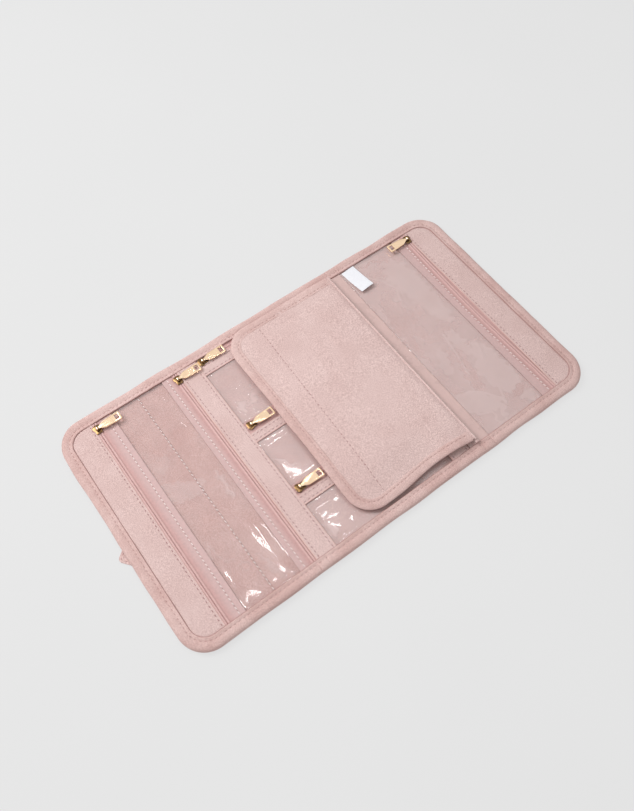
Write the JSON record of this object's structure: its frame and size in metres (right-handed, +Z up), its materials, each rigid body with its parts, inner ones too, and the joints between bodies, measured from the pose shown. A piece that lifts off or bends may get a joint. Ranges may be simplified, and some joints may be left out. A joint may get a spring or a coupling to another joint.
{
  "type": "jewelry sleeve",
  "caption": "Soft tri-fold jewelry sleeve, opened flat: bound suede panels, zipped clear pockets, a padded flap over the middle pockets and a closure strap.",
  "frame": {"origin": "on the table, under the middle of the opened case and its strap corner", "axes": "+X along the opened length towards the single large pocket, +Y towards the zips' closed ends, +Z up off the table"},
  "size_m": [0.4364, 0.24, 0.0128],
  "materials": {
    "suede": "brushed suede, matte",
    "binding": "suede binding tape, matte",
    "lining": "soft lining over padding",
    "vinyl": "clear soft vinyl",
    "zip_tape": "woven zip tape with a smooth face",
    "hardware": "polished pale gold",
    "label": "white satin tape"
  },
  "bodies": {
    "centre": {"centre_cover": "suede", "centre_padding": "lining", "centre_binding_front": "binding", "centre_binding_back": "binding", "pocket_a_zip_tape_front": "zip_tape", "pocket_a_zip_tape_back": "zip_tape", "pocket_a_window": "vinyl", "pocket_b_zip_tape_front": "zip_tape", "pocket_b_zip_tape_back": "zip_tape", "pocket_b_window": "vinyl", "pocket_c_zip_tape_front": "zip_tape", "pocket_c_zip_tape_back": "zip_tape", "pocket_c_window": "vinyl", "pocket_a_strip": "suede", "pocket_b_strip": "suede", "pocket_c_strip": "suede", "centre_fold_strip": "suede", "flap_root": "suede"},
    "left_spine": {"left_spine_core": "lining", "left_spine_strip": "suede", "left_spine_binding_front": "binding", "left_spine_binding_back": "binding"},
    "left_panel": {"left_cover": "suede", "left_padding": "lining", "left_binding": "binding", "left_end_strip": "suede", "left_window": "vinyl", "left_outer_zip_tape_left": "zip_tape", "left_outer_zip_tape_right": "zip_tape", "left_inner_zip_tape_left": "zip_tape", "left_inner_zip_tape_right": "zip_tape", "strap_sewn_end": "suede"},
    "right_spine": {"right_spine_core": "lining", "right_spine_strip": "suede", "right_spine_binding_front": "binding", "right_spine_binding_back": "binding"},
    "right_panel": {"right_cover": "suede", "right_padding": "lining", "right_binding": "binding", "right_end_strip": "suede", "right_window": "vinyl", "right_zip_tape_left": "zip_tape", "right_zip_tape_right": "zip_tape", "care_label": "label"},
    "flap": {"flap_back": "suede", "flap_face": "suede", "flap_binding": "binding"},
    "closure_strap": {"closure_strap": "suede"},
    "slider_1": {"slider_1": "hardware"},
    "pull_1": {"pull_1": "hardware"},
    "slider_2": {"slider_2": "hardware"},
    "pull_2": {"pull_2": "hardware"},
    "slider_3": {"slider_3": "hardware"},
    "pull_3": {"pull_3": "hardware"},
    "slider_4": {"slider_4": "hardware"},
    "pull_4": {"pull_4": "hardware"},
    "slider_5": {"slider_5": "hardware"},
    "pull_5": {"pull_5": "hardware"},
    "slider_6": {"slider_6": "hardware"},
    "pull_6": {"pull_6": "hardware"}
  },
  "joints": [
    {"name": "left_spine_fold", "type": "hinge", "parent": "centre", "child": "left_spine", "pos_m": [-0.06924, 0, 0.0067], "axis": [0, 1, 0], "range_deg": [0, 90]},
    {"name": "left_panel_fold", "type": "hinge", "parent": "left_spine", "child": "left_panel", "pos_m": [-0.08544, 0, 0.0067], "axis": [0, 1, 0], "range_deg": [0, 84.6]},
    {"name": "right_spine_fold", "type": "hinge", "parent": "centre", "child": "right_spine", "pos_m": [0.08866, 0, 0.0067], "axis": [0, -1, 0], "range_deg": [0, 90]},
    {"name": "right_panel_fold", "type": "hinge", "parent": "right_spine", "child": "right_panel", "pos_m": [0.10016, 0, 0.0067], "axis": [0, -1, 0], "range_deg": [0, 90]},
    {"name": "flap_lift", "type": "hinge", "parent": "centre", "child": "flap", "pos_m": [0.08566, 0, 0.01165], "axis": [0, -1, 0], "range_deg": [-180, 0]},
    {"name": "strap_swing", "type": "hinge", "parent": "left_panel", "child": "closure_strap", "pos_m": [-0.1609, 0.02048, 0], "axis": [0.6131, -0.79, 0], "range_deg": [0, 175]},
    {"name": "left_outer_zip_slide", "type": "slide", "parent": "left_panel", "child": "slider_1", "axis": [0, 1, 0], "range_m": [-0.203, 0]},
    {"name": "pull_1_flip", "type": "hinge", "parent": "slider_1", "child": "pull_1", "pos_m": [-0.17424, 0.1012, 0.0086], "axis": [0, 1, 0], "range_deg": [-180, 0]},
    {"name": "left_inner_zip_slide", "type": "slide", "parent": "left_panel", "child": "slider_2", "axis": [0, 1, 0], "range_m": [-0.203, 0]},
    {"name": "pull_2_flip", "type": "hinge", "parent": "slider_2", "child": "pull_2", "pos_m": [-0.09054, 0.1012, 0.0086], "axis": [0, -1, 0], "range_deg": [0, 180]},
    {"name": "pocket_a_zip_slide", "type": "slide", "parent": "centre", "child": "slider_3", "axis": [-1, 0, 0], "range_m": [-0.115, 0]},
    {"name": "pull_3_flip", "type": "hinge", "parent": "slider_3", "child": "pull_3", "pos_m": [-0.06194, 0.1044, 0.0086], "axis": [0, 1, 0], "range_deg": [-160, 0]},
    {"name": "pocket_b_zip_slide", "type": "slide", "parent": "centre", "child": "slider_4", "axis": [-1, 0, 0], "range_m": [-0.115, 0]},
    {"name": "pull_4_flip", "type": "hinge", "parent": "slider_4", "child": "pull_4", "pos_m": [-0.06194, 0.0236, 0.0086], "axis": [0, 1, 0], "range_deg": [-180, 0]},
    {"name": "pocket_c_zip_slide", "type": "slide", "parent": "centre", "child": "slider_5", "axis": [-1, 0, 0], "range_m": [-0.115, 0]},
    {"name": "pull_5_flip", "type": "hinge", "parent": "slider_5", "child": "pull_5", "pos_m": [-0.06194, -0.0499, 0.0086], "axis": [0, 1, 0], "range_deg": [-180, 0]},
    {"name": "right_zip_slide", "type": "slide", "parent": "right_panel", "child": "slider_6", "axis": [0, 1, 0], "range_m": [-0.203, 0]},
    {"name": "pull_6_flip", "type": "hinge", "parent": "slider_6", "child": "pull_6", "pos_m": [0.18006, 0.1012, 0.0086], "axis": [0, -1, 0], "range_deg": [-180, 0]}
  ],
  "couplings": [
    {"joint": "left_panel_fold", "follows": "left_spine_fold", "ratio": 0.94},
    {"joint": "right_panel_fold", "follows": "right_spine_fold", "ratio": 1},
    {"joint": "pull_2_flip", "follows": "left_spine_fold", "ratio": 2}
  ]
}
